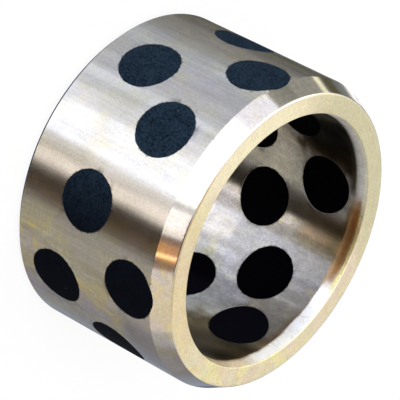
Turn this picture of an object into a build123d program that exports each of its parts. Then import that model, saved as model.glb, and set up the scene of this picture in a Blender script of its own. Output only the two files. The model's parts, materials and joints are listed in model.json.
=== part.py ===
from build123d import *
import os

# Plain sleeve bearing with solid graphite plugs, in millimetres.
# The axis is +Z and the origin is the centre of the rear face, so the sleeve
# stands on its rear end with the chamfered front end up.

# sleeve
bore_diameter = 40.0       # the shaft it is made for
wall = 5.0
length = 30.0

# front end, which is pressed into the housing first
lead_length = 3.0          # long outer chamfer, along the axis
lead_depth = 1.5           # the same chamfer, into the wall
lead_edge_radius = 0.4     # rounding between that chamfer and the front face
lip_length = 2.4           # slight taper at the mouth of the bore, along the axis
lip_rise = 0.35            # how far that taper opens the bore
lip_blend_radius = 6.0     # rounding between the bore and the taper
lip_edge_radius = 0.2      # rounding between the taper and the front face

# rear end
rear_chamfer = 0.8         # outer edge, 45 degrees
rear_bore_chamfer = 0.5    # bore edge, 45 degrees

# plugs: rows round the sleeve, each row turned on from the one in front of it
plug_diameter = 9.2
row_count = 4
plugs_per_row = 4
end_to_row = 7.5           # from each end face to the centre of the nearest row
row_turn = 33.75           # degrees from one row to the next

# The holes are spotted by hand on the marked rows, so each lies a little off its mark:
# degrees round the axis and millimetres towards the front, row by row from the front.
spotting = (
    ((-2.0, 0.4), (1.7, 0.4), (5.7, -0.9), (-4.8, -0.4)),
    ((1.8, 1.6), (2.8, -0.5), (1.9, 0.7), (-4.9, -0.4)),
    ((1.5, 0.1), (0.4, -0.4), (-0.9, -1.0), (-0.9, -0.1)),
    ((1.9, 0.5), (5.7, -0.3), (-1.3, -0.1), (5.2, 1.4)),
)

# worked out from the sizes above
outer_diameter = bore_diameter + 2 * wall
bore_radius = bore_diameter / 2
outer_radius = outer_diameter / 2
row_pitch = (length - 2 * end_to_row) / (row_count - 1)


def nearest_vertex(sketch, radius, height):
    """The corner of the half section closest to a radius and a height."""
    return sketch.vertices().sort_by_distance((radius, 0, height))[0]


def sleeve_blank():
    """The turned sleeve before drilling: its half section spun round the axis."""
    face_inner = bore_radius + lip_rise
    face_outer = outer_radius - lead_depth
    taper_foot = length - lip_length
    outline = Polyline(
        (bore_radius, 0, rear_bore_chamfer),
        (bore_radius, 0, taper_foot),
        (face_inner, 0, length),
        (face_outer, 0, length),
        (outer_radius, 0, length - lead_length),
        (outer_radius, 0, rear_chamfer),
        (outer_radius - rear_chamfer, 0, 0),
        (bore_radius + rear_bore_chamfer, 0, 0),
        close=True,
    )
    section = make_face(outline)
    section = fillet(nearest_vertex(section, bore_radius, taper_foot), lip_blend_radius)
    section = fillet(nearest_vertex(section, face_inner, length), lip_edge_radius)
    section = fillet(nearest_vertex(section, face_outer, length), lead_edge_radius)
    return revolve(section, Axis.Z)


def plug_places():
    """Angle and height of every plug, row by row from the front end."""
    places = []
    for row in range(row_count):
        row_height = length - end_to_row - row * row_pitch
        row_start = row * row_turn
        row_spotting = spotting[row % len(spotting)]
        for step in range(plugs_per_row):
            turn_error, height_error = row_spotting[step % len(row_spotting)]
            angle = row_start + step * 360 / plugs_per_row + turn_error
            places.append((angle, row_height + height_error))
    return places


def radial_bar(angle, height):
    """A round bar that lies along a radius and passes right through the wall."""
    bar = Cylinder(plug_diameter / 2, 2 * wall, align=(Align.CENTER, Align.CENTER, Align.MIN))
    start = bore_radius - wall / 2
    return Rot(0, 0, angle) * Pos(start, 0, height) * Rot(0, 90, 0) * bar


blank = sleeve_blank()
bars = [radial_bar(angle, height) for angle, height in plug_places()]

os.makedirs("parts", exist_ok=True)

# The sleeve is drilled where the bars pass. Each plug is its bar turned flush with the
# blank, so both its ends follow the curve of the bore and of the outside.
sleeve = blank - bars
export_step(sleeve, "parts/bronze_sleeve.step")
for number, bar in enumerate(bars, start=1):
    plug = bar & blank
    export_step(plug, f"parts/graphite_plug_{number:02d}.step")
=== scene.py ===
import json
import math

import bmesh
import bpy
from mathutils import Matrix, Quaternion, Vector
from mathutils import noise as perlin
from mathutils.geometry import delaunay_2d_cdt


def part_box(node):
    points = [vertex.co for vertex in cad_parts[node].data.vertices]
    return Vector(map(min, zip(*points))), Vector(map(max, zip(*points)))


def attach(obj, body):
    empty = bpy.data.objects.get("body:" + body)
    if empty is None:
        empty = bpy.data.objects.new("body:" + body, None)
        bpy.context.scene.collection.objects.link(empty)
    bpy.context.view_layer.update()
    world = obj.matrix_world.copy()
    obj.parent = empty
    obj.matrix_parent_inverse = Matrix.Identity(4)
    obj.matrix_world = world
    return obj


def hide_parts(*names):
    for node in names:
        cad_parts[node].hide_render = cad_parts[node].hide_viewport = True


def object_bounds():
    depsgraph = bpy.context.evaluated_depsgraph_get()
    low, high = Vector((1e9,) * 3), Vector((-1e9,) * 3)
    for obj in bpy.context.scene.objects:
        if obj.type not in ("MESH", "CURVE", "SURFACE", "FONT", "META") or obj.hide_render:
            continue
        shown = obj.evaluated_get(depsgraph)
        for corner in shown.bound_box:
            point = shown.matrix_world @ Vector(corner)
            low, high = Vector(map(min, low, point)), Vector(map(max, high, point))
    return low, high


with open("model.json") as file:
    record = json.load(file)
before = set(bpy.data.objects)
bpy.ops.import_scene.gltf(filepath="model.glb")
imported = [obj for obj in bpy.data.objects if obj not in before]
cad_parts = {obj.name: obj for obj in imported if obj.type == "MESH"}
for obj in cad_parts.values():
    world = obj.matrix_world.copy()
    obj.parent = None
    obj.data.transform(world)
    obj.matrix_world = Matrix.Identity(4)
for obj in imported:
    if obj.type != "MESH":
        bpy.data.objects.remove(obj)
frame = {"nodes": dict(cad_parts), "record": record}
cadBox = [list(corner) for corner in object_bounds()]
mm = 0.001
print("frame loaded:", len(frame["nodes"]), "nodes")


def placeObject(name, data):
    item = bpy.data.objects.new(name, data)
    bpy.context.scene.collection.objects.link(item)
    return item


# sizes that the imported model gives, in millimetres

def mountRadius(name):
    for mount in frame["record"]["mounts"]:
        if mount["name"] == name:
            return mount["dims"]["r_mm"]


def plugPlace(node):
    low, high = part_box(node)
    points = [vertex.co / mm for vertex in frame["nodes"][node].data.vertices]
    middle = (low + high) / 2 / mm
    turn = math.atan2(middle.y, middle.x)
    for _ in range(6):  # turn until the plug is as wide to the left as to the right
        across = [p.y * math.cos(turn) - p.x * math.sin(turn) for p in points]
        turn += (max(across) + min(across)) / 2 / middle.xy.length
    return {"node": node, "turn": turn, "height": middle.z, "radius": (high.z - low.z) / 2 / mm}


plugPlaces = [plugPlace(name) for name in sorted(frame["nodes"]) if name.startswith("graphite_plug")]

sleeveShape = {
    "bore": mountRadius("bore"),
    "outside": mountRadius("outside"),
    "length": cadBox[1][2] / mm,
    "leadLength": 3.0,       # long outer chamfer at the front
    "leadDepth": 1.5,
    "leadEdge": 0.4,         # rounding from that chamfer to the front face
    "lipLength": 2.4,        # taper at the mouth of the bore
    "lipRise": 0.35,
    "lipEdge": 0.2,          # rounding from the taper to the front face
    "rearChamfer": 0.8,
    "rearBoreChamfer": 0.5,
    "cornerWear": 0.05,      # how softly one turned surface runs into the next
    "holeBreak": 0.06,       # broken edge round each hole
    "raggedEdge": 0.07,      # small unevenness of that edge
    "raggedScale": 7.0,
    "chipDepth": 0.16,       # its few chips
    "chipScale": 1.6,
    "chipFrom": 0.22,        # a higher value leaves fewer chips
    "tornShare": 0.8,        # share of the unevenness left just under the skin
    "cleanDepth": 1.6,       # below this the hole is round
    "farGap": 5.0,           # distances from a hole are kept up to this one
    "seamTurn": math.radians(231.0),  # a line along the sleeve that meets no hole
    "columns": 360,
    "holeSegments": 96,
    "holeRings": (0, 0.12, 0.3, 0.6),  # rings of points round a hole, outwards from its broken edge
    "ringMargin": 0.25,      # room from the last ring to the plain grid
    "cornerReach": 0.2,      # rows of points stand closer this far to both sides of a corner
    "lipReach": 0.6,         # and of the foot of the lip
    "cornerRows": 0.05,      # spacing of the rows there, and on each stretch between
    "endRows": 0.2,
    "plainRows": 0.6,
    "leadRows": 0.5,
    "lipRows": 0.12,
    "mouthRows": 0.4,
    "edgeSteps": 8,
    "faceSteps": 6,
    "rearSteps": 4,
    "sameHeight": 0.02,      # closer heights count as one
    "weld": 0.002,
    "sharpFrom": math.radians(35),
}
# the slot of each of the sleeve's finishes
finishSlots = {"outside": 0, "bore": 1, "face": 2, "rim": 3, "lead": 4, "rear": 5}


# the section of the sleeve: radius of the outside and of the bore at a height

def softMin(a, b, width):
    near = max(width - abs(a - b), 0) / width
    return min(a, b) - near * near * width / 4


def softMax(a, b, width):
    return -softMin(-a, -b, width)


def outsideAt(height, shape=sleeveShape):
    slope = shape["leadDepth"] / shape["leadLength"]
    leadFoot = shape["length"] - shape["leadLength"]
    radius = softMin(shape["outside"], shape["outside"] - (height - leadFoot) * slope, shape["cornerWear"])
    return softMin(radius, shape["outside"] - shape["rearChamfer"] + height, shape["cornerWear"])


def boreAt(height, shape=sleeveShape):
    mouth = max(height - shape["length"] + shape["lipLength"], 0) / shape["lipLength"]
    radius = shape["bore"] + shape["lipRise"] * mouth * mouth
    return softMax(radius, shape["bore"] + shape["rearBoreChamfer"] - height, shape["cornerWear"])


def edgeRounding(corner, before, after, radius, steps=sleeveShape["edgeSteps"]):
    # points of the arc that rounds a corner of the section
    before, after = Vector(before).normalized(), Vector(after).normalized()
    turned = before.angle(after)
    reach = radius * math.tan(turned / 2)
    start, end = Vector(corner) - before * reach, Vector(corner) + after * reach
    bisector = (after - before).normalized()
    centre = Vector(corner) + bisector * radius / math.cos(turned / 2)
    first = start - centre
    firstTurn = math.atan2(first.y, first.x)
    side = math.copysign(1, first.cross(end - centre))
    points = []
    for step in range(steps + 1):
        turn = firstTurn + side * turned * step / steps
        points.append((centre.x + radius * math.cos(turn), centre.y + radius * math.sin(turn)))
    return points


def frontEdge(shape=sleeveShape):
    # from the top of the lead-in chamfer over the front face to the lip, as (radius, height)
    top = shape["length"]
    outer = edgeRounding((shape["outside"] - shape["leadDepth"], top),
                         (-shape["leadDepth"], shape["leadLength"]), (-1, 0), shape["leadEdge"])
    inner = edgeRounding((shape["bore"] + shape["lipRise"], top),
                         (-1, 0), (-2 * shape["lipRise"], -shape["lipLength"]), shape["lipEdge"])
    steps = shape["faceSteps"]
    face = [(outer[-1][0] + (inner[0][0] - outer[-1][0]) * step / steps, top) for step in range(1, steps)]
    return outer + face + inner


# the drilled skins, cut in the flat and rolled up

def rowsBetween(stops, top):
    # heights of the rows, each stop being (height, spacing up to the next one)
    heights = []
    for (low, spacing), high in zip(stops, [stop[0] for stop in stops[1:]] + [top]):
        count = max(1, round((high - low) / spacing))
        heights += [low + (high - low) * step / count for step in range(count)]
    return heights + [top]


def ragged(hole, angle, side, shape=sleeveShape):
    # how far the edge of a hole strays from a true circle: a torn edge with a few chips
    seed = hole["turn"] * 9.0 + side * 5.0  # far apart for each hole and side
    across, along = math.cos(angle), math.sin(angle)
    fine = Vector((across * shape["raggedScale"] - seed, along * shape["raggedScale"] + seed, seed))
    spot = Vector((across * shape["chipScale"] + seed, along * shape["chipScale"] - seed, seed * 0.37))
    chip = max(perlin.noise(spot) - shape["chipFrom"], 0)
    return shape["raggedEdge"] * perlin.noise(fine) + shape["chipDepth"] * chip


def ringPoint(hole, angle, ringRadius, skinAt):
    # turn and height where a ring round a hole meets a skin
    height = hole["height"] + ringRadius * math.sin(angle)
    across = ringRadius * math.cos(angle)
    return hole["turn"] + math.asin(across / skinAt(height)), height


def rolledSkin(skinAt, rows, side, shape=sleeveShape):
    # a grid in the flat with clean rings at each hole, triangulated, then rolled to its radius
    flatRadius = skinAt(shape["length"] / 2)
    seam = shape["seamTurn"]
    rings = [shape["holeBreak"] + gap for gap in shape["holeRings"]]
    clear = rings[-1] + shape["ringMargin"]
    segments = shape["holeSegments"]
    points, distances, edges, loops = [], [], [], []
    for hole in plugPlaces:
        for order, gap in enumerate(rings):
            first = len(points)
            for step in range(segments):
                angle = 2 * math.pi * step / segments
                stray = ragged(hole, angle, side) * (1 - order / len(rings))
                turn, height = ringPoint(hole, angle, hole["radius"] + gap + stray, skinAt)
                points.append(((turn - seam) % (2 * math.pi) * flatRadius, height))
                distances.append(gap)
            if order == 0:
                loops.append(list(range(first, first + segments)))
                edges += [(first + step, first + (step + 1) % segments) for step in range(segments)]
    for column in range(shape["columns"] + 1):
        turn = 2 * math.pi * column / shape["columns"]
        for height in rows:
            reach = shape["farGap"]
            for hole in plugPlaces:
                aside = turn + seam - hole["turn"]
                if math.cos(aside) > 0:
                    off = math.hypot(skinAt(height) * math.sin(aside), height - hole["height"])
                    reach = min(reach, off - hole["radius"])
            if reach > clear:
                points.append((turn * flatRadius, height))
                distances.append(reach)
    flat, _, faces, origin, _, _ = delaunay_2d_cdt([Vector(p) for p in points], edges, [], 0, 1e-6)
    # only the faces inside a hole have all their corners on the edge of that hole
    holeOf = {i: number for number, loop in enumerate(loops) for i in loop}
    kept = [face for face in faces if len({holeOf.get(origin[i][0], -1 - i) for i in face}) > 1]
    places = []
    for point in flat:
        turn, radius = point.x / flatRadius + seam, skinAt(point.y)
        places.append((radius * math.cos(turn), radius * math.sin(turn), point.y))
    gaps = [distances[sources[0]] for sources in origin]
    index = {sources[0]: new for new, sources in enumerate(origin)}
    return places, gaps, kept, [[index[i] for i in loop] for loop in loops]


def makeSleeve(shape=sleeveShape):
    mesh = bmesh.new()
    gapLayer = mesh.verts.layers.float.new("holeGap")
    slots = finishSlots
    top = shape["length"]
    leadFoot = top - shape["leadLength"]
    lipFoot = top - shape["lipLength"]
    front = frontEdge()
    reach, lipReach = shape["cornerReach"], shape["lipReach"]
    outerRows = rowsBetween([(0, shape["endRows"]),
                             (shape["rearChamfer"] - reach, shape["cornerRows"]),
                             (shape["rearChamfer"] + reach, shape["plainRows"]),
                             (leadFoot - reach, shape["cornerRows"]),
                             (leadFoot + reach, shape["leadRows"])], front[0][1])
    boreRows = rowsBetween([(0, shape["endRows"]),
                            (shape["rearBoreChamfer"] - reach, shape["cornerRows"]),
                            (shape["rearBoreChamfer"] + reach, shape["plainRows"]),
                            (lipFoot - lipReach, shape["lipRows"]),
                            (lipFoot + lipReach, shape["mouthRows"])], front[-1][1])

    def addVertex(place, gap):
        vert = mesh.verts.new(place)
        vert[gapLayer] = gap
        return vert

    def outerSlot(corners):
        heights = [vert.co.z for vert in corners]
        if min(heights) > leadFoot - shape["sameHeight"]:
            return slots["lead"]
        return slots["rear" if max(heights) < shape["rearChamfer"] + shape["sameHeight"] else "outside"]

    def addSkin(skinAt, rows, side, slotOf):
        places, gaps, faces, loops = rolledSkin(skinAt, rows, side)
        verts = [addVertex(place, gap) for place, gap in zip(places, gaps)]
        for face in faces:
            corners = [verts[i] for i in face]
            mesh.faces.new(corners).material_index = slotOf(corners)
        return [[verts[i] for i in loop] for loop in loops]

    def addRing(hole, skinAt, sink, side, torn):
        # a ring on the wall of a hole, moved outwards along its spoke
        spoke = Vector((math.cos(hole["turn"]), math.sin(hole["turn"]), 0))
        ring = []
        for step in range(shape["holeSegments"]):
            angle = 2 * math.pi * step / shape["holeSegments"]
            stray = ragged(hole, angle, side) * torn
            turn, height = ringPoint(hole, angle, hole["radius"] + stray, skinAt)
            radius = skinAt(height)
            place = Vector((radius * math.cos(turn), radius * math.sin(turn), height))
            ring.append(addVertex(place + spoke * sink, 0.0))
        return ring

    def bridge(first, second, slot):
        for step in range(len(first)):
            after = (step + 1) % len(first)
            corners = (first[step], first[after], second[after], second[step])
            mesh.faces.new(corners).material_index = slot

    def addBand(section, slot):
        # a plain turned band between points of the section, given as (radius, height)
        turns = [shape["seamTurn"] + 2 * math.pi * i / shape["columns"] for i in range(shape["columns"])]
        rings = []
        for radius, height in section:
            places = [(radius * math.cos(turn), radius * math.sin(turn), height) for turn in turns]
            rings.append([addVertex(place, shape["farGap"]) for place in places])
        for lower, upper in zip(rings, rings[1:]):
            bridge(lower, upper, slot)

    outerLoops = addSkin(outsideAt, outerRows, 0, outerSlot)
    boreLoops = addSkin(boreAt, boreRows, 1, lambda corners: slots["bore"])
    broken, clean, torn = shape["holeBreak"], shape["cleanDepth"], shape["tornShare"]
    for hole, outerLoop, boreLoop in zip(plugPlaces, outerLoops, boreLoops):
        chain = [outerLoop,
                 addRing(hole, outsideAt, -broken, 0, torn),
                 addRing(hole, outsideAt, -clean, 0, 0),
                 addRing(hole, boreAt, clean, 1, 0),
                 addRing(hole, boreAt, broken, 1, torn),
                 boreLoop]
        for before, after in zip(chain, chain[1:]):
            bridge(after, before, slots["rim"])
    steps = shape["edgeSteps"]
    addBand(front[:steps // 2 + 1], slots["lead"])
    addBand(front[steps // 2:], slots["face"])
    rearOut, rearIn, steps = outsideAt(0), boreAt(0), shape["rearSteps"]
    addBand([(rearIn + (rearOut - rearIn) * step / steps, 0) for step in range(steps + 1)], slots["face"])
    bmesh.ops.remove_doubles(mesh, verts=mesh.verts, dist=shape["weld"])
    for vert in mesh.verts:
        vert.co *= mm
    bmesh.ops.recalc_face_normals(mesh, faces=mesh.faces)
    for face in mesh.faces:
        face.smooth = True
    for edge in mesh.edges:
        if len(edge.link_faces) == 2:
            sides = {face.material_index for face in edge.link_faces}
            rimEdge = slots["rim"] in sides and len(sides) == 2
            edge.smooth = edge.calc_face_angle() < shape["sharpFrom"] and not rimEdge
        else:
            print("open edge on the sleeve at", tuple(edge.verts[0].co / mm))
    data = bpy.data.meshes.new("bronzeSleeve")
    mesh.to_mesh(data)
    mesh.free()
    return placeObject("bronzeSleeve", data)


# short ways to lay nodes

def addNode(tree, kind, **settings):
    node = tree.nodes.new(kind)
    for name, value in settings.items():
        setattr(node, name, value)
    return node


def feed(tree, socket, value):
    # a link where the value comes from another node, otherwise the value itself
    if isinstance(value, bpy.types.NodeSocket):
        tree.links.new(value, socket)
    else:
        socket.default_value = value


def wired(tree, kind, values, output=0, **settings):
    # one output of a new node, after feeding the inputs that are given by name or number
    node = addNode(tree, kind, **settings)
    for name, value in values.items():
        feed(tree, node.inputs[name], value)
    return node.outputs[output]


def maths(tree, operation, first, second=0.0, clamp=False):
    return wired(tree, "ShaderNodeMath", {0: first, 1: second}, operation=operation, use_clamp=clamp)


def times(tree, first, second):
    return maths(tree, "MULTIPLY", first, second)


def plus(tree, first, second, clamp=False):
    return maths(tree, "ADD", first, second, clamp)


def minus(tree, first, second):
    return maths(tree, "SUBTRACT", first, second)


def vectorMaths(tree, operation, first, second=(0, 0, 0), output=0):
    return wired(tree, "ShaderNodeVectorMath", {0: first, 1: second}, output, operation=operation)


def scaled(tree, vector, factor):
    return wired(tree, "ShaderNodeVectorMath", {0: vector, "Scale": factor}, operation="SCALE")


def combined(tree, x, y, z):
    return wired(tree, "ShaderNodeCombineXYZ", {0: x, 1: y, 2: z})


def ranged(tree, value, low, high, outLow=0.0, outHigh=1.0):
    values = {0: value, 1: low, 2: high, 3: outLow, 4: outHigh}
    return wired(tree, "ShaderNodeMapRange", values, interpolation_type="SMOOTHSTEP")


def mixed(tree, factor, first, second):
    return wired(tree, "ShaderNodeMix", {0: factor, 6: first, 7: second}, 2, data_type="RGBA")


def noise(tree, vector, scale, detail=3.0, roughness=0.55, distortion=0.0):
    values = {"Vector": vector, "Scale": scale, "Detail": detail, "Roughness": roughness}
    return wired(tree, "ShaderNodeTexNoise", values | {"Distortion": distortion}, "Fac")


# graphite plugs, one tree for all of them

plugShape = {
    "segments": 96,
    "rings": 14,
    "ringCrowding": 1.6,     # rings crowd towards the rim, so that the broken edge is a narrow one
    "sideSteps": 3,
    "sunk": 0.02,            # the ends lie this far under the bronze, in millimetres
    "edgeBreak": 0.05,
    "fit": 0.06,             # the plug fills the torn edge of its hole
    "relief": 0.012,         # unevenness of the ends
    "reliefScale": 1.1,
    "weld": 1e-7,            # metres
    "sharpFrom": math.radians(55),
}


def plugSettings(hole, shape=sleeveShape):
    # what one plug feeds to the tree
    return {
        "Turn": hole["turn"], "Height": hole["height"], "Radius": hole["radius"] + plugShape["fit"],
        "Outside": shape["outside"], "Bore": shape["bore"], "LeadFoot": shape["length"] - shape["leadLength"],
        "LeadSlope": shape["leadDepth"] / shape["leadLength"], "Sunk": plugShape["sunk"],
        "EdgeBreak": plugShape["edgeBreak"], "Relief": plugShape["relief"],
    }


def makePlugTree():
    tree = bpy.data.node_groups.new("plugTree", "GeometryNodeTree")
    interface = tree.interface
    interface.new_socket("Geometry", in_out="OUTPUT", socket_type="NodeSocketGeometry")
    sockets = dict.fromkeys(plugSettings(plugPlaces[0]), "NodeSocketFloat") | {"Finish": "NodeSocketMaterial"}
    inputs = {}
    for name, kind in sockets.items():
        inputs[name] = interface.new_socket(name, in_out="INPUT", socket_type=kind).identifier
    value = {socket.name: socket for socket in addNode(tree, "NodeGroupInput").outputs}
    bar = wired(tree, "GeometryNodeMeshCylinder", {
        "Vertices": plugShape["segments"], "Side Segments": plugShape["sideSteps"],
        "Fill Segments": plugShape["rings"], "Radius": 1.0, "Depth": 2.0,
    }, fill_type="NGON")
    parts = addNode(tree, "ShaderNodeSeparateXYZ")
    tree.links.new(addNode(tree, "GeometryNodeInputPosition").outputs[0], parts.inputs[0])
    x, y, end = parts.outputs
    share = maths(tree, "SQRT", plus(tree, times(tree, x, x), times(tree, y, y)))
    inward = maths(tree, "MAXIMUM", minus(tree, 1.0, share), 0.0)
    crowded = minus(tree, 1.0, maths(tree, "POWER", inward, plugShape["ringCrowding"]))
    reach = times(tree, crowded, value["Radius"])
    stretch = maths(tree, "DIVIDE", reach, maths(tree, "MAXIMUM", share, 0.0001))
    across, along = times(tree, x, stretch), times(tree, y, stretch)
    height = plus(tree, value["Height"], along)
    # radius of the outside at this height
    leadRise = maths(tree, "MAXIMUM", minus(tree, height, value["LeadFoot"]), 0.0)
    outside = minus(tree, value["Outside"], times(tree, leadRise, value["LeadSlope"]))
    flatAcross = times(tree, across, across)

    def depthOf(radius):
        return maths(tree, "SQRT", minus(tree, times(tree, radius, radius), flatAcross))

    broken = maths(tree, "MAXIMUM", minus(tree, value["EdgeBreak"], minus(tree, value["Radius"], reach)), 0.0)
    grain = wired(tree, "ShaderNodeTexNoise", {
        "Vector": combined(tree, across, along, end), "W": value["Turn"], "Scale": plugShape["reliefScale"],
    }, noise_dimensions="4D")
    uneven = times(tree, minus(tree, grain, 0.5), value["Relief"])
    sink = plus(tree, plus(tree, value["Sunk"], uneven), broken)
    outerEnd = minus(tree, depthOf(outside), sink)
    boreEnd = plus(tree, depthOf(value["Bore"]), sink)
    outerShare = times(tree, plus(tree, end, 1.0), 0.5)
    spoke = plus(tree, times(tree, outerEnd, outerShare), times(tree, boreEnd, minus(tree, 1.0, outerShare)))
    placed = wired(tree, "GeometryNodeSetPosition", {
        "Geometry": bar, "Position": combined(tree, spoke, across, height)})
    turned = wired(tree, "GeometryNodeTransform", {
        "Geometry": placed, "Rotation": combined(tree, 0.0, 0.0, value["Turn"]), "Scale": (mm, mm, mm)})
    smooth = wired(tree, "GeometryNodeSetShadeSmooth", {"Geometry": turned})
    finished = wired(tree, "GeometryNodeSetMaterial", {"Geometry": smooth, "Material": value["Finish"]})
    tree.links.new(finished, addNode(tree, "NodeGroupOutput").inputs[0])
    return tree, inputs


def makePlug(tree, inputs, hole, material):
    seed = placeObject("plugSeed", bpy.data.meshes.new("plugSeed"))
    modifier = seed.modifiers.new("plug", "NODES")
    modifier.node_group = tree
    for name, setting in plugSettings(hole).items():
        modifier[inputs[name]] = setting
    modifier[inputs["Finish"]] = material
    bpy.context.view_layer.update()
    evaluated = seed.evaluated_get(bpy.context.evaluated_depsgraph_get())
    data = bpy.data.meshes.new_from_object(evaluated)
    bpy.data.objects.remove(seed)
    mesh = bmesh.new()
    mesh.from_mesh(data)
    bmesh.ops.remove_doubles(mesh, verts=mesh.verts, dist=plugShape["weld"])
    bmesh.ops.recalc_face_normals(mesh, faces=mesh.faces)
    for edge in mesh.edges:
        if len(edge.link_faces) == 2:
            edge.smooth = edge.calc_face_angle() < plugShape["sharpFrom"]
    mesh.to_mesh(data)
    mesh.free()
    data.name = "graphitePlug" + hole["node"].rsplit("_", 1)[1]
    return placeObject(data.name, data)


# materials

def placeInMm(tree, stretch=(1, 1, 1)):
    # a place on the piece in millimetres; a small stretch draws a pattern out along that axis
    coordinates = addNode(tree, "ShaderNodeTexCoord")
    return vectorMaths(tree, "MULTIPLY", coordinates.outputs["Object"], tuple(s / mm for s in stretch))


def newMaterial(name):
    material = bpy.data.materials.new(name)
    material.use_nodes = True
    tree = material.node_tree
    return material, tree, tree.nodes["Principled BSDF"]


def turnedTangent(tree):
    # across the turning marks: highlights spread that way
    along = vectorMaths(tree, "CROSS_PRODUCT", (0, 0, 1), placeInMm(tree, (1, 1, 0)))
    normal = addNode(tree, "ShaderNodeNewGeometry").outputs["Normal"]
    return vectorMaths(tree, "NORMALIZE", vectorMaths(tree, "CROSS_PRODUCT", normal, along))


def raised(tree, height, distance, under=None):
    # bump of a height pattern, distance in millimetres, on top of another bump
    values = {"Strength": 1.0, "Distance": distance * mm, "Height": height}
    if under:
        values["Normal"] = under
    return wired(tree, "ShaderNodeBump", values, "Normal")


def specks(tree, place, scale, size, share):
    # sparse round specks: 1 inside, 0 outside
    cells = addNode(tree, "ShaderNodeTexVoronoi", feature="F1")
    feed(tree, cells.inputs["Vector"], place)
    cells.inputs["Scale"].default_value = scale
    chance = wired(tree, "ShaderNodeSeparateColor", {0: cells.outputs["Color"]})
    inside = ranged(tree, cells.outputs["Distance"], size * scale, size * scale / 2)
    return times(tree, inside, maths(tree, "LESS_THAN", chance, share))


def outwards(tree):
    # how far a place lies from the axis, in millimetres
    return vectorMaths(tree, "LENGTH", placeInMm(tree, (1, 1, 0)), output="Value")


def turnMarks(tree, look):
    # fine rings left by the lathe, counted along the axis or across the face
    wander = look["ringWander"]
    if look["ringsAcross"]:
        outward = combined(tree, 0.0, 0.0, outwards(tree))
        around = vectorMaths(tree, "NORMALIZE", placeInMm(tree, (1, 1, 0)))
        place = vectorMaths(tree, "ADD", outward, scaled(tree, around, wander))
    else:
        place = placeInMm(tree, (wander, wander, 1))
    return noise(tree, place, look["ringScale"], detail=4, roughness=0.7)


def roundBand(tree, centre, halfWidth, soft):
    # 1 along a strip of the sleeve that lies at an angle round the axis, in degrees
    around = vectorMaths(tree, "NORMALIZE", placeInMm(tree, (1, 1, 0)))
    aim = (math.cos(math.radians(centre)), math.sin(math.radians(centre)), 0)
    near = vectorMaths(tree, "DOT_PRODUCT", around, aim, "Value")
    outer, inner = math.radians(min(halfWidth + soft, 179)), math.radians(max(halfWidth - soft, 0))
    return ranged(tree, near, math.cos(outer), math.cos(inner))


def heightBand(tree, low, high, soft):
    height = wired(tree, "ShaderNodeSeparateXYZ", {0: placeInMm(tree)}, 2)
    rise = ranged(tree, height, low - soft, low + soft)
    return times(tree, rise, ranged(tree, height, high + soft, high - soft))


usual = (0.3, 0.7)           # most of a noise lies between these
wholeLength = (-1, 40, 1)    # past both ends of the sleeve, which lie at 0 and 30
frontEnd = (20, 40, 5)
markSettings = {
    "wander": 0.4,           # how far the edge of a mark strays, unless it says otherwise
    "beyondSoft": 0.08,      # softness of a mark that starts beyond a radius
    "insideFade": (23.0, 22.0),  # marks kept inside the bore fade out between these radii
    "stainStretch": 0.75,    # below 1, a pattern is drawn out along the axis
}


def mark(around, along, tint, depth, **more):
    # a tint in a band round the axis (middle, half width, softness) and in height (low, high, softness)
    return dict(more, around=around, along=along, tint=(*tint, 1), depth=depth)


def stain(shift, scale, limits, tint, depth):
    # soft blotches of one tint, where a noise rises through the limits
    return {"shift": shift, "scale": scale, "limits": limits, "tint": (*tint, 1), "depth": depth}


def markMask(tree, item, worn):
    mask = heightBand(tree, *item["along"])
    if item["around"]:
        mask = times(tree, mask, roundBand(tree, *item["around"]))
    if "beyond" in item:
        soft = markSettings["beyondSoft"]
        mask = times(tree, mask, ranged(tree, outwards(tree), item["beyond"] - soft, item["beyond"] + soft))
    if item.get("inside"):
        mask = times(tree, mask, ranged(tree, outwards(tree), *markSettings["insideFade"]))
    # the edge wanders, most where the mask is half
    wander = 4 * item.get("wander", markSettings["wander"])
    edge = times(tree, mask, minus(tree, 1.0, mask))
    stray = times(tree, edge, ranged(tree, worn, *usual, -wander, wander))
    return times(tree, plus(tree, mask, stray, clamp=True), item["depth"])


def stainMask(tree, item):
    place = vectorMaths(tree, "ADD", placeInMm(tree, (1, 1, markSettings["stainStretch"])), item["shift"])
    pattern = noise(tree, place, item["scale"], detail=3, roughness=0.5, distortion=0.8)
    return times(tree, ranged(tree, pattern, *item["limits"]), item["depth"])


smears = {
    "rimWidth": 0.16, "rimStray": (-0.18, 0.10), "rimScale": 1.7,
    "dragWidth": 1.1, "dragScale": 0.42, "dragStretch": (0.5, 0.5, 1), "dragLimits": (0.52, 0.68),
    "crumbNear": 0.3, "crumbFar": 1.5, "crumbScale": 1.5, "crumbSize": 0.10, "crumbShare": 0.35,
    "crumbShift": (3, 9, 1), "tint": (0.03, 0.032, 0.036, 1),
}


def holeDirt(tree, place, strength):
    # graphite dragged out of the holes, and crumbs of it near them
    gap = addNode(tree, "ShaderNodeAttribute", attribute_name="holeGap").outputs["Fac"]
    stray = ranged(tree, noise(tree, place, smears["rimScale"]), *usual, *smears["rimStray"])
    rim = times(tree, ranged(tree, plus(tree, gap, stray), smears["rimWidth"], 0.0), strength)
    drag = noise(tree, placeInMm(tree, smears["dragStretch"]), smears["dragScale"], detail=4, roughness=0.6)
    drag = times(tree, ranged(tree, gap, smears["dragWidth"], 0.0), ranged(tree, drag, *smears["dragLimits"]))
    crumbPlace = vectorMaths(tree, "ADD", place, smears["crumbShift"])
    crumbs = specks(tree, crumbPlace, smears["crumbScale"], smears["crumbSize"], smears["crumbShare"])
    crumbs = times(tree, crumbs, ranged(tree, gap, smears["crumbFar"], smears["crumbNear"], 0.0, strength))
    return maths(tree, "MAXIMUM", maths(tree, "MAXIMUM", rim, times(tree, drag, strength)), crumbs)


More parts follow.
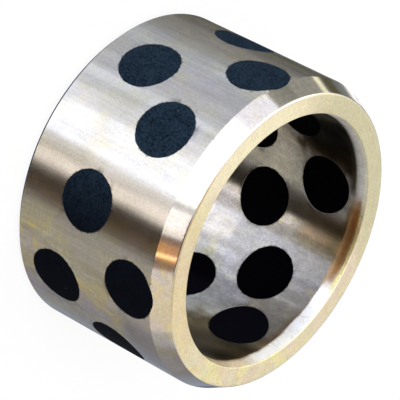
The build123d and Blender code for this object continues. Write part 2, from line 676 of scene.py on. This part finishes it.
def bronzeMaterial(name, look):
    material, tree, shader = newMaterial(name)
    place = placeInMm(tree)
    stretch, streakScale = look["streakStretch"], look["streakScale"]
    cloudPlace = placeInMm(tree, (1, 1, look["cloudStretch"]))
    clouds = noise(tree, cloudPlace, look["cloudScale"], detail=4, roughness=0.6, distortion=0.4)
    stainPlace = vectorMaths(tree, "ADD", place, look["stainShift"])
    stains = noise(tree, stainPlace, look["stainScale"], detail=5, roughness=0.65, distortion=0.5)
    streaks = noise(tree, placeInMm(tree, (1, 1, stretch)), streakScale, detail=5, roughness=0.6)
    hairs = noise(tree, placeInMm(tree, (1, 1, stretch / 2)), streakScale * 3, roughness=0.6)
    grain = noise(tree, place, look["grainScale"], roughness=0.7)
    rings = turnMarks(tree, look)
    roughness = ranged(tree, clouds, *usual, *look["roughness"])
    metallic = 1.0
    colour = mixed(tree, ranged(tree, clouds, *look["cloudLimits"]), look["colour"], look["tarnish"])
    stained = times(tree, ranged(tree, stains, *look["stainLimits"]), look["stainDepth"])
    colour = mixed(tree, stained, colour, look["stain"])
    if look["patinaDepth"]:
        # rainbow stains left by cutting fluid, mostly on one side
        side = roundBand(tree, *look["patinaBand"])
        side = ranged(tree, side, 0, 1, look["patinaDepth"] * look["patinaElsewhere"], look["patinaDepth"])
        for item in look["patina"]:
            colour = mixed(tree, times(tree, stainMask(tree, item), side), colour, item["tint"])
    for item in look["marks"]:
        mask = markMask(tree, item, stains)
        colour = mixed(tree, mask, colour, item["tint"])
        if "roughness" in item:
            roughness = ranged(tree, mask, 0, 1, roughness, item["roughness"])
            metallic = ranged(tree, mask, 0, 1, metallic, item["metallic"])
    shade = ranged(tree, streaks, *look["streakLimits"], 1 - look["streakDepth"], 1 + look["streakDepth"])
    for pattern, depth in ((hairs, "hairDepth"), (rings, "ringDepth"), (grain, "grainDepth")):
        shade = plus(tree, shade, ranged(tree, pattern, *usual, -look[depth], look[depth]))
    colour = scaled(tree, colour, shade)
    dots = specks(tree, place, look["speckScale"], look["speckSize"], look["speckShare"])
    colour = mixed(tree, times(tree, dots, look["speckDepth"]), colour, look["speckColour"])
    if look["smear"]:
        colour = mixed(tree, holeDirt(tree, place, look["smear"]), colour, smears["tint"])
    feed(tree, shader.inputs["Base Color"], colour)
    feed(tree, shader.inputs["Metallic"], metallic)
    feed(tree, shader.inputs["Roughness"], roughness)
    shader.inputs["Anisotropic"].default_value = look["anisotropy"]
    feed(tree, shader.inputs["Tangent"], turnedTangent(tree))
    wavePlace = placeInMm(tree, (1, 1, look["waveStretch"]))
    waves = noise(tree, wavePlace, look["waveScale"], detail=2, roughness=0.5)
    normal = raised(tree, waves, look["waveHeight"])
    normal = raised(tree, streaks, look["streakHeight"], normal)
    normal = raised(tree, rings, look["ringHeight"], normal)
    tree.links.new(normal, shader.inputs["Normal"])
    return material


tideStains = (
    stain((5, 40, 3), 0.17, (0.46, 0.62), (0.60, 0.54, 0.29), 0.75),
    stain((70, 2, 9), 0.15, (0.48, 0.62), (0.52, 0.48, 0.51), 0.8),
    stain((9, 9, 90), 0.20, (0.52, 0.68), (0.37, 0.36, 0.32), 0.6),
    stain((1, 33, 60), 0.36, (0.53, 0.66), (0.70, 0.61, 0.25), 0.6),
    stain((44, 3, 20), 0.42, (0.55, 0.70), (0.60, 0.62, 0.60), 0.5),
)
faceStains = (
    stain((5, 40, 3), 0.16, (0.48, 0.60), (0.86, 0.79, 0.38), 0.6),
    stain((20, 2, 9), 0.20, (0.50, 0.62), (0.77, 0.63, 0.53), 0.85),
    stain((7, 71, 9), 0.45, (0.53, 0.66), (0.70, 0.53, 0.33), 0.5),
    stain((60, 5, 31), 0.38, (0.52, 0.7), (0.74, 0.72, 0.57), 0.5),
)
outsideLook = {
    "colour": (0.52, 0.495, 0.44, 1), "tarnish": (0.45, 0.43, 0.38, 1), "stain": (0.46, 0.43, 0.30, 1),
    "cloudScale": 0.13, "cloudStretch": 0.7, "cloudLimits": (0.38, 0.66),
    "stainScale": 0.11, "stainShift": (31, 7, 12), "stainLimits": (0.5, 0.68), "stainDepth": 0.5,
    "patina": tideStains, "patinaDepth": 1.0, "patinaBand": (96, 23, 8), "patinaElsewhere": 0.2,
    "streakScale": 1.1, "streakStretch": 0.06, "streakLimits": (0.25, 0.75), "streakDepth": 0.075,
    "streakHeight": 0.003, "hairDepth": 0.04, "grainScale": 3.2, "grainDepth": 0.08,
    "waveScale": 0.14, "waveStretch": 0.55, "waveHeight": 0.045,
    "ringsAcross": False, "ringScale": 5.0, "ringWander": 0.012, "ringDepth": 0.03, "ringHeight": 0.0006,
    "speckScale": 0.8, "speckSize": 0.09, "speckShare": 0.10, "speckDepth": 0.75,
    "speckColour": (0.08, 0.07, 0.06, 1),
    "smear": 0.6, "roughness": (0.22, 0.27), "anisotropy": 1.0,
    "marks": (mark((117, 10, 6), (20.5, 40, 2.5), (0.36, 0.345, 0.34), 0.85),
              mark((56, 3.5, 3), (12, 40, 3), (0.64, 0.62, 0.58), 0.8),
              mark((84, 5, 4), (11, 20, 2), (0.475, 0.47, 0.455), 0.7),
              mark((62, 4, 4), wholeLength, (0.56, 0.50, 0.41), 0.6),
              mark((78, 5, 4), wholeLength, (0.44, 0.43, 0.42), 0.6)),
}
# painted dark reflections: the upper bore is darkened where it mirrors dark surroundings
paintedDarkReflections = (
    mark((288, 15, 11), (16.0, 40, 4), (0.030, 0.018, 0.005), 1.0, inside=True),
    mark((297, 9, 5), (17.0, 40, 3), (0.002, 0.001, 0.0005), 1.0, inside=True),
    mark((166, 14, 9), (13, 40, 5), (0.15, 0.11, 0.035), 0.9, inside=True),
)
lipMarks = (
    mark(None, (28.3, 40, 0.9), (0.62, 0.59, 0.53), 1.0, roughness=0.5, metallic=0.12, wander=0.06),
    mark((150, 60, 14), (27.2, 28.3, 0.5), (0.34, 0.21, 0.10), 0.75, wander=0.12),
    mark((140, 24, 8), (28.1, 40, 0.5), (0.62, 0.48, 0.28), 0.95, wander=0.25),
    mark((166, 12, 6), (28.2, 40, 0.5), (0.90, 0.74, 0.50), 0.9, wander=0.3),
    # painted highlight: a white glint on the lip, matte at 184° and metal at 210°
    mark((184, 13, 8), (28.15, 40, 0.4), (1.0, 1.0, 0.97), 1.0, roughness=0.5, metallic=0.0, wander=0.3),
    mark((210, 12, 6), (27.8, 40, 0.25), (1.0, 0.98, 0.93), 1.0, roughness=0.4, metallic=1.0, wander=0.3),
    # painted shade: a dark band just under the lip, where the bore mirrors dark surroundings
    mark((288, 17, 7), (27.1, 28.0, 0.3), (0.06, 0.047, 0.03), 0.9, wander=0.2),
    mark((292, 26, 12), (27.95, 40, 0.3), (0.48, 0.455, 0.43), 1.0, wander=0.06),
    mark((250, 12, 5), (27.0, 40, 0.4), (0.26, 0.18, 0.085), 0.9, wander=0.2),
    mark((245, 17, 7), (27.7, 40, 0.3), (0.26, 0.155, 0.068), 0.95, roughness=0.45, metallic=0.9, wander=0.1),
    mark((243, 15, 7), (27.65, 28.15, 0.3), (0.42, 0.26, 0.12), 0.9, wander=0.6),
    mark((246, 16, 6), (28.4, 29.1, 0.35), (0.27, 0.12, 0.032), 1.0, wander=0.6),
    mark((242, 20, 7), (29.3, 40, 0.25), (0.72, 0.63, 0.31), 0.95, wander=0.4),
    mark((285, 28, 10), (29.35, 40, 0.2), (0.60, 0.58, 0.46), 0.9, wander=0.3),
)
boreMarks = (
    mark((238, 9, 7), (19.8, 40, 2.5), (0.42, 0.35, 0.20), 0.8),
    mark((228, 40, 20), (18.5, 40, 5), (0.33, 0.30, 0.25), 0.5),
    # painted shade: above 8.8 mm at 228° the bore is darker, so that the painted pool of light below stands
    # out
    mark((228, 7, 4), (8.8, 40, 0.8), (0.31, 0.295, 0.265), 0.85),
    mark((243, 6, 4), (18.5, 40, 3), (0.27, 0.22, 0.14), 0.7),
    mark((263, 10, 6), wholeLength, (0.47, 0.46, 0.455), 0.8),
    mark((199, 5, 4), (13, 17, 2), (0.35, 0.34, 0.32), 0.8),
    mark((230, 4, 4), (16.5, 21, 2), (0.34, 0.32, 0.29), 0.7),
    mark((244, 5, 4), (24.5, 40, 2), (0.18, 0.14, 0.07), 0.75),
    # painted light: a pool of light low on the far side of the bore
    mark((226, 5.5, 3), (-1, 8.6, 0.8), (0.46, 0.42, 0.35), 0.9, wander=0.5),
    mark((264, 11, 5), (11.5, 17, 2), (0.66, 0.64, 0.59), 0.7),
    mark((244, 5, 5), (19.5, 24.5, 2), (0.42, 0.29, 0.20), 0.35, wander=0.9),
)
# the bore carries the painted dark reflections and the lip's painted highlights
boreLook = dict(
    outsideLook, colour=(0.475, 0.455, 0.42, 1), tarnish=(0.41, 0.385, 0.34, 1), stain=(0.36, 0.32, 0.24, 1),
    cloudScale=0.3, stainScale=0.22, streakScale=0.55, streakStretch=0.6, streakDepth=0.12, hairDepth=0.07,
    grainDepth=0.13, speckScale=1.3, speckShare=0.3, patinaDepth=0.6, patinaBand=(240, 30, 8),
    patinaElsewhere=0.6, waveHeight=0.03, roughness=(0.20, 0.25), marks=boreMarks + paintedDarkReflections + lipMarks,
)
leadLook = dict(
    outsideLook, colour=(0.59, 0.555, 0.50, 1), tarnish=(0.55, 0.515, 0.46, 1), stain=(0.50, 0.44, 0.30, 1),
    streakDepth=0.03, streakHeight=0.001, hairDepth=0.07, grainDepth=0.06, patinaDepth=0.7, waveHeight=0.012,
    smear=0.0, roughness=(0.12, 0.17),
    marks=(
        mark((138, 9, 5), frontEnd, (0.42, 0.385, 0.33), 0.9),
        mark((60, 3, 3), frontEnd, (0.75, 0.73, 0.72), 0.8),
    ),
)
faceLook = dict(
    outsideLook, colour=(0.78, 0.69, 0.46, 1), tarnish=(0.78, 0.655, 0.49, 1), stain=(0.76, 0.67, 0.37, 1),
    cloudScale=0.28, stainScale=0.35, streakScale=0.5, streakStretch=1.0, streakDepth=0.04, streakHeight=0.0,
    hairDepth=0.02, grainDepth=0.11, patina=faceStains, patinaBand=(150, 40, 8), patinaElsewhere=0.5,
    waveHeight=0.0, ringsAcross=True, ringScale=6.0, ringWander=0.25, ringHeight=0.002, speckScale=1.6,
    speckSize=0.07, speckShare=0.14, speckColour=(0.30, 0.24, 0.14, 1), smear=0.0,
    roughness=(0.48, 0.53), anisotropy=0.0,
    marks=(
        mark((294, 46, 16), frontEnd, (0.61, 0.565, 0.37), 0.85),
        mark((90, 20, 16), frontEnd, (0.75, 0.61, 0.36), 0.6),
        mark((20, 24, 16), frontEnd, (0.89, 0.81, 0.57), 0.85),
        mark((30, 32, 8), frontEnd, (0.58, 0.38, 0.30), 0.5, beyond=23.13),
        mark((72, 26, 5), frontEnd, (0.53, 0.40, 0.21), 0.85, beyond=23.22),
        # painted highlight on the rounded outer edge of the face
        mark((12, 25, 6), frontEnd, (1.0, 0.98, 0.90), 0.9, beyond=23.3),
        mark((245, 60, 20), frontEnd, (0.60, 0.58, 0.50), 0.7, beyond=23.3),
    ),
)
rearLook = dict(
    leadLook, colour=(0.45, 0.44, 0.44, 1), tarnish=(0.42, 0.41, 0.41, 1), stain=(0.40, 0.39, 0.38, 1),
    hairDepth=0.03, patinaDepth=0.0, roughness=(0.10, 0.15), anisotropy=0.0,
)
rimLook = dict(
    outsideLook, colour=(0.03, 0.03, 0.035, 1), tarnish=(0.06, 0.06, 0.06, 1), stain=(0.12, 0.11, 0.10, 1),
    cloudScale=0.5, stainScale=0.4, streakHeight=0.0, patinaDepth=0.0, waveHeight=0.0,
    smear=0.0, roughness=(0.48, 0.53), anisotropy=0.0,
    # the rims in the bore take the painted dark reflections too
    marks=(mark(None, wholeLength, (0.34, 0.32, 0.28), 0.6, inside=True), *paintedDarkReflections),
)
sleeveLooks = {"outside": outsideLook, "bore": boreLook, "face": faceLook, "rim": rimLook, "lead": leadLook,
               "rear": rearLook}

graphiteLook = {
    # the blue in these tones is a painted reflection of the sky
    "dark": (0.004, 0.0085, 0.0165, 1), "pale": (0.016, 0.0305, 0.050, 1),
    "grainScale": 3.0, "blotchScale": 0.5, "blotchShare": 0.25, "limits": (0.38, 0.62),
    "poreScale": 5.0, "poreDepth": 0.02,
    "shadeBand": (116, 48, 20), "shadeTint": (0.001, 0.0008, 0.002, 1), "shadeDepth": 0.9,
    # painted shade: the plug ends turn black inside the bore
    "innerFade": (21.5, 23.0), "innerTint": (0.0002, 0.0002, 0.0008, 1),
    "palerBand": (186, 13, 4), "palerTint": (0.0028, 0.0028, 0.0056, 1),
    "dustScale": 0.55, "dustSize": 0.08, "dustShare": 0.16, "dustDepth": 0.6,
    "dustTint": (0.55, 0.55, 0.52, 1),
    "roughness": (0.52, 0.68), "specular": 0.012,
}


def graphiteMaterial(look=graphiteLook):
    material, tree, shader = newMaterial("graphite")
    place = placeInMm(tree)
    grain = noise(tree, place, look["grainScale"], detail=4, roughness=0.7)
    pores = noise(tree, place, look["poreScale"], roughness=0.7)
    blotches = noise(tree, place, look["blotchScale"], detail=4, roughness=0.6)
    fine = plus(tree, times(tree, grain, 1 - look["blotchShare"]), times(tree, blotches, look["blotchShare"]))
    colour = mixed(tree, ranged(tree, fine, *look["limits"]), look["dark"], look["pale"])
    # painted shade: blacker on one side and in the bore, where one band is left a little paler
    shaded = times(tree, roundBand(tree, *look["shadeBand"]), look["shadeDepth"])
    colour = mixed(tree, shaded, colour, look["shadeTint"])
    inner = mixed(tree, roundBand(tree, *look["palerBand"]), look["innerTint"], look["palerTint"])
    colour = mixed(tree, ranged(tree, outwards(tree), *look["innerFade"]), inner, colour)
    dust = specks(tree, place, look["dustScale"], look["dustSize"], look["dustShare"])
    colour = mixed(tree, times(tree, dust, look["dustDepth"]), colour, look["dustTint"])
    feed(tree, shader.inputs["Base Color"], colour)
    feed(tree, shader.inputs["Roughness"], ranged(tree, grain, *usual, *look["roughness"]))
    shader.inputs["Specular IOR Level"].default_value = look["specular"]
    tree.links.new(raised(tree, pores, look["poreDepth"]), shader.inputs["Normal"])
    return material


# studio

studio = {
    "floorSize": 30.0,            # metres, as all lengths here
    "floorDrop": 0.00004,         # so that the floor and the sleeve's end do not share a plane
    "floorColour": (0.98, 0.98, 0.98, 1),
    "whiteShare": 0.84,           # how much of the floor's white is its own, so that shadows stay faint
    "worldStrength": 1.0,
    "keyPower": 4.0, "keySize": (0.35, 0.40), "keyDistance": 0.8, "keyAzimuth": 35.0, "keyElevation": 40.0,
    "domeRadius": 0.9, "domeColumns": 360, "domeRows": 72,
}

# cards and flags hung round the sleeve and under its glass table; only the bronze sees them, mirrored.
# each has its azimuth from, to and softness, its elevation from, to and softness, in degrees, and its tone
studioCards = {
    "wallGrey": (-180, 180, 1, -90, 6, 24, (0.44, 0.44, 0.44)),
    "rearSheet": (160, 192, 6, -90, 20, 10, (0.39, 0.38, 0.40)),
    "backRight": (190, 214, 6, -90, 20, 10, (0.42, 0.47, 0.58)),
    "backRightEdge": (212, 246, 5, -90, 20, 10, (0.30, 0.35, 0.41)),
    "underFlag": (150, 312, 12, -90, -45, 6, (0.01, 0.015, 0.045)),
    "rightSheet": (105, 158, 7, -90, -6, 8, (0.58, 0.54, 0.44)),
    "rightHigh": (100, 147, 4, -6, 24, 8, (1.10, 1.00, 0.96)),
    "leftSheet": (-50, -31, 10, -90, -10, 10, (0.92, 1.02, 1.25)),
    "leftFlag": (-114, -79, 8, -90, -5, 8, (0.055, 0.055, 0.05)),
    "leftOlive": (-89, -79, 3, -20, 4, 5, (0.12, 0.11, 0.06)),
    "leftLine": (-77, -72.5, 2, -14, 18, 6, (1.5, 1.5, 1.1)),
    "leftHigh": (-71, -33, 4, -8, 18, 6, (0.45, 0.45, 0.42)),
    "leftHighDark": (-50, -34.5, 4, -8, 8, 6, (0.26, 0.26, 0.22)),
    "leftUpper": (-100, -30, 10, 18, 64, 8, (2.0, 2.0, 2.0)),
    "backLeft": (-146, -105, 6, -90, 8, 8, (0.005, 0.04, 0.09)),
    "leadWhiteLow": (-123, -112, 3, -32, -26, 2, (2.2, 2.2, 2.2)),
    "leadGrey": (-103, -89, 4, -22, -10, 4, (0.26, 0.28, 0.28)),
    "leadWhiteHigh": (-112, -103.5, 3, -26.5, -20, 2, (2.3, 2.3, 2.3)),
    "window": (-33, 60, 4, -90, -8, 8, (0.66, 0.71, 0.86)),
    "windowPane": (-12.5, -7, 1.5, -90, -8, 8, (0.86, 0.90, 1.10)),
    "windowPost": (-2.5, 12, 2, -90, -8, 8, (0.78, 0.84, 1.06)),
    "windowLow": (14, 60, 9, -90, -8, 8, (1.30, 1.36, 1.66)),
    "windowCore": (30, 57, 4, -90, -8, 8, (2.1, 2.2, 2.65)),
    "windowLine": (19.5, 21.5, 1, -90, -8, 8, (1.6, 1.7, 2.1)),
    "leftStrip": (3, 7.5, 2, -90, -8, 8, (1.7, 1.85, 2.2)),
    "windowHigh": (-32, 58, 3, -8, 60, 6, (2.1, 2.15, 2.35)),
    "windowVeil": (-32, -6, 4, -8, 20, 6, (1.42, 1.45, 1.72)),
    "windowGap": (56, 68, 3, -90, -8, 8, (1.22, 1.20, 1.20)),
    "windowGapCore": (63, 66.5, 1.5, -90, -8, 8, (0.95, 0.93, 0.93)),
    "windowEdge": (68, 77.5, 2, -90, -8, 8, (1.85, 1.78, 1.80)),
    "edgeHigh": (63, 80, 2, -8, 30, 6, (1.7, 1.62, 1.55)),
    "flag": (78.5, 101, 2.5, -90, 0, 6, (0.012, 0.008, 0.004)),
    "flagHigh": (66, 112, 8, 27, 75, 8, (0.16, 0.09, 0.07)),
    "copperDark": (81, 103, 1, 2, 27, 6, (0.46, 0.31, 0.23)),
    "copper": (85.5, 97, 2, 2, 27, 6, (1.0, 0.54, 0.27)),
    "copperLine": (93, 95, 1, 2, 27, 6, (3.4, 2.1, 1.2)),
}


def whiteForSight(tree):
    # 1 for the camera, else 0; reflections meet only the dome
    return addNode(tree, "ShaderNodeLightPath").outputs["Is Camera Ray"]


def addOutput(tree, kind, shader):
    tree.links.new(shader, addNode(tree, kind).inputs[0])


def makeFloor():
    half, low = studio["floorSize"] / 2, -studio["floorDrop"]
    corners = [(-half, -half, low), (half, -half, low), (half, half, low), (-half, half, low)]
    data = bpy.data.meshes.new("studioFloor")
    data.from_pydata(corners, [], [(0, 1, 2, 3)])
    material, tree, _ = newMaterial("studioFloor")
    tree.nodes.clear()
    paint = addNode(tree, "ShaderNodeBsdfDiffuse")
    paint.inputs["Color"].default_value = studio["floorColour"]
    mix = addNode(tree, "ShaderNodeMixShader")
    feed(tree, mix.inputs[0], times(tree, whiteForSight(tree), studio["whiteShare"]))
    tree.links.new(paint.outputs[0], mix.inputs[1])
    tree.links.new(addNode(tree, "ShaderNodeEmission").outputs[0], mix.inputs[2])
    addOutput(tree, "ShaderNodeOutputMaterial", mix.outputs[0])
    data.materials.append(material)
    floor = placeObject("studioFloor", data)
    floor.visible_glossy = False


def makeWorld():
    world = bpy.data.worlds.new("studio")
    bpy.context.scene.world = world
    world.use_nodes = True
    tree = world.node_tree
    tree.nodes.clear()
    light = addNode(tree, "ShaderNodeBackground")
    light.inputs["Color"].default_value = (1, 1, 1, 1)
    strength = ranged(tree, whiteForSight(tree), 0, 1, studio["worldStrength"], 1.0)
    feed(tree, light.inputs["Strength"], strength)
    addOutput(tree, "ShaderNodeOutputWorld", light.outputs[0])


def direction(azimuth, elevation):
    azimuth, elevation = math.radians(azimuth), math.radians(elevation)
    level = math.cos(elevation)
    return Vector((math.cos(azimuth) * level, math.sin(azimuth) * level, math.sin(elevation)))


def softly(value, low, high, soft):
    # 1 between low and high, falling to 0 over the softness
    rise = min(max((value - low) / soft + 0.5, 0), 1)
    fall = min(max((high - value) / soft + 0.5, 0), 1)
    return rise * rise * (3 - 2 * rise) * fall * fall * (3 - 2 * fall)


def cardTone(azimuth, elevation):
    tone = Vector((1.0, 1.0, 1.0))
    for first, last, soft, low, high, softUp, colour in studioCards.values():
        around = (azimuth - (first + last) / 2 + 180) % 360 - 180
        half = (last - first) / 2
        cover = softly(around, -half, half, soft) if half < 180 else 1.0
        tone = tone.lerp(Vector(colour), cover * softly(elevation, low, high, softUp))
    return tone


def makeDome():
    columns, rows = studio["domeColumns"], studio["domeRows"]
    places, tones, faces = [], [], []
    for row in range(rows + 1):
        elevation = -90 + 180 * row / rows
        for column in range(columns):
            azimuth = 360 * column / columns
            places.append(direction(azimuth, elevation) * studio["domeRadius"])
            tones.append((*cardTone(azimuth, elevation), 1))
    for row in range(rows):
        for column in range(columns):
            a, b = row * columns + column, row * columns + (column + 1) % columns
            faces.append((a, b, b + columns, a + columns))
    data = bpy.data.meshes.new("studioDome")
    data.from_pydata(places, [], faces)
    layer = data.color_attributes.new("tone", "FLOAT_COLOR", "POINT")
    for item, tone in zip(layer.data, tones):
        item.color = tone
    material, tree, _ = newMaterial("studioDome")
    material.cycles.emission_sampling = "NONE"
    tree.nodes.clear()
    glow = addNode(tree, "ShaderNodeEmission")
    tone = addNode(tree, "ShaderNodeAttribute", attribute_name="tone")
    tree.links.new(tone.outputs["Color"], glow.inputs["Color"])
    addOutput(tree, "ShaderNodeOutputMaterial", glow.outputs[0])
    data.materials.append(material)
    dome = placeObject("studioDome", data)
    dome.visible_camera = False
    dome.visible_diffuse = False
    dome.visible_shadow = False


def aimFrom(item, spoke):
    # turns a lamp or a camera to look back along a spoke
    item.rotation_mode = "QUATERNION"
    item.rotation_quaternion = spoke.to_track_quat("Z", "Y")


def makeKeyLight():
    width, height = studio["keySize"]
    lamp = bpy.data.lights.new("keyBox", "AREA")
    lamp.shape = "RECTANGLE"
    lamp.size = width
    lamp.size_y = height
    lamp.energy = studio["keyPower"] * width * height * math.pi
    spoke = direction(studio["keyAzimuth"], studio["keyElevation"])
    keyBox = placeObject("keyBox", lamp)
    keyBox.location = spoke * studio["keyDistance"]
    aimFrom(keyBox, spoke)


# aim, distance, lens and sensor in millimetres, turns in degrees, the clip range in metres
cameraView = {
    "aim": (0.34, 0.33, 14.30), "azimuth": 51.367, "elevation": 33.837, "roll": 117.451,
    "distance": 453.29, "lens": 271.69, "sensor": 36.0, "clip": (0.01, 100),
}


def makeCamera(view=cameraView):
    data = bpy.data.cameras.new("camera")
    data.lens = view["lens"]
    data.sensor_width = view["sensor"]
    data.clip_start, data.clip_end = view["clip"]
    camera = placeObject("camera", data)
    back = direction(view["azimuth"], view["elevation"])
    camera.location = (Vector(view["aim"]) + back * view["distance"]) * mm
    aimFrom(camera, back)
    camera.rotation_quaternion @= Quaternion((0, 0, 1), math.radians(view["roll"]))
    bpy.context.scene.camera = camera
    bpy.context.scene.view_settings.view_transform = "Standard"
    bpy.context.view_layer.update()
    print("camera", [[round(x, 5) for x in row] for row in camera.matrix_world])


makeCamera()
makeFloor()
makeWorld()
makeDome()
makeKeyLight()
print("studio made:", len(studioCards), "cards")

sleeve = makeSleeve()
for name in finishSlots:
    sleeve.data.materials.append(bronzeMaterial("bronze" + name.capitalize(), sleeveLooks[name]))
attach(sleeve, "root")
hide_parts("bronze_sleeve")
print("sleeve made:", len(sleeve.data.polygons), "faces")

graphite = graphiteMaterial()
plugTree, plugInputs = makePlugTree()
for place in plugPlaces:
    plug = makePlug(plugTree, plugInputs, place, graphite)
    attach(plug, "root")
    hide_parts(place["node"])
print("plugs made:", len(plugPlaces))
